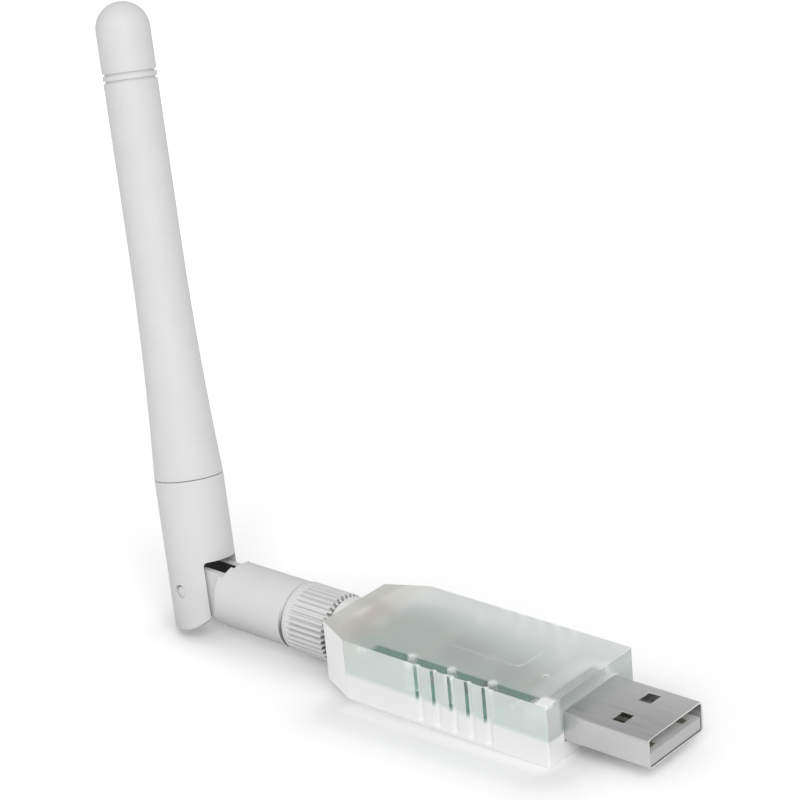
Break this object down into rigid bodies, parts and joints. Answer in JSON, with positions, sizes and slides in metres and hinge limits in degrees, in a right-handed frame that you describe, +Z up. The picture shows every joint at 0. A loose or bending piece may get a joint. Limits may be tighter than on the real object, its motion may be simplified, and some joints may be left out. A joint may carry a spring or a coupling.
{
  "type": "usb radio stick",
  "caption": "Plug-in radio stick with a translucent case, a metal plug at one end and a screwed-on whip antenna that swivels and folds at the other.",
  "frame": {"origin": "where the plug leaves the case, on the plug's axis", "axes": "+X out of the plug, +Z up through the case's top face, +Y across the case"},
  "size_m": [0.1043, 0.025, 0.0907],
  "materials": {
    "clear_shell": "clear plastic, fine matt texture outside",
    "board": "solder mask",
    "plug_steel": "nickel plated",
    "tongue_plastic": "moulded",
    "gold_plate": "gold plated",
    "chip_black": "moulded",
    "crystal_can": "stamped can",
    "led_lens": "clear lens",
    "capacitor_tan": "ceramic",
    "resistor_black": "ceramic",
    "gold_brass": "gold plated, turned",
    "insulator_white": "white dielectric",
    "antenna_white": "fine matt texture",
    "spring_bronze": "plain",
    "coax_jacket": "smooth jacket",
    "bare_brass": "plain"
  },
  "bodies": {
    "stick": {"case_upper": "clear_shell", "case_lower": "clear_shell", "circuit_board": "board", "plug_shell": "plug_steel", "plug_tongue": "tongue_plastic", "plug_contacts": "gold_plate", "radio_chip": "chip_black", "usb_chip": "chip_black", "crystal": "crystal_can", "regulator": "chip_black", "status_led": "led_lens", "capacitors": "capacitor_tan", "resistors": "resistor_black", "antenna_jack": "gold_brass", "jack_bead": "insulator_white", "jack_pin": "gold_plate"},
    "ring": {"snap_ring": "spring_bronze"},
    "collar": {"knurled_collar": "antenna_white", "coupling_nut": "gold_brass"},
    "base": {"antenna_base": "antenna_white", "ferrule": "gold_brass", "ferrule_bead": "insulator_white", "ferrule_pin": "gold_plate", "base_coax": "coax_jacket"},
    "whip": {"clevis": "antenna_white", "hinge_pins": "antenna_white", "whip_sleeve": "antenna_white", "tip_cap": "antenna_white", "dipole_tube": "bare_brass", "whip_coax": "coax_jacket", "radiator_rod": "bare_brass"}
  },
  "joints": [
    {"name": "antenna_draw", "type": "slide", "parent": "stick", "child": "ring", "axis": [-1, 0, 0], "range_m": [0, 0.00423]},
    {"name": "collar_turn", "type": "hinge", "parent": "ring", "child": "collar", "pos_m": [-0.0473, 0, -0.0003], "axis": [-1, 0, 0], "range_deg": [0, 2160]},
    {"name": "base_swivel", "type": "hinge", "parent": "ring", "child": "base", "pos_m": [-0.052, 0, -0.0003], "axis": [1, 0, 0], "continuous": true},
    {"name": "whip_fold", "type": "hinge", "parent": "base", "child": "whip", "pos_m": [-0.0716, 0, -0.0003], "axis": [0, -0.9898, 0.1426], "range_deg": [-10.7, 79.3]}
  ],
  "couplings": [
    {"joint": "collar_turn", "follows": "antenna_draw", "rad_per_m": 8904.7}
  ]
}
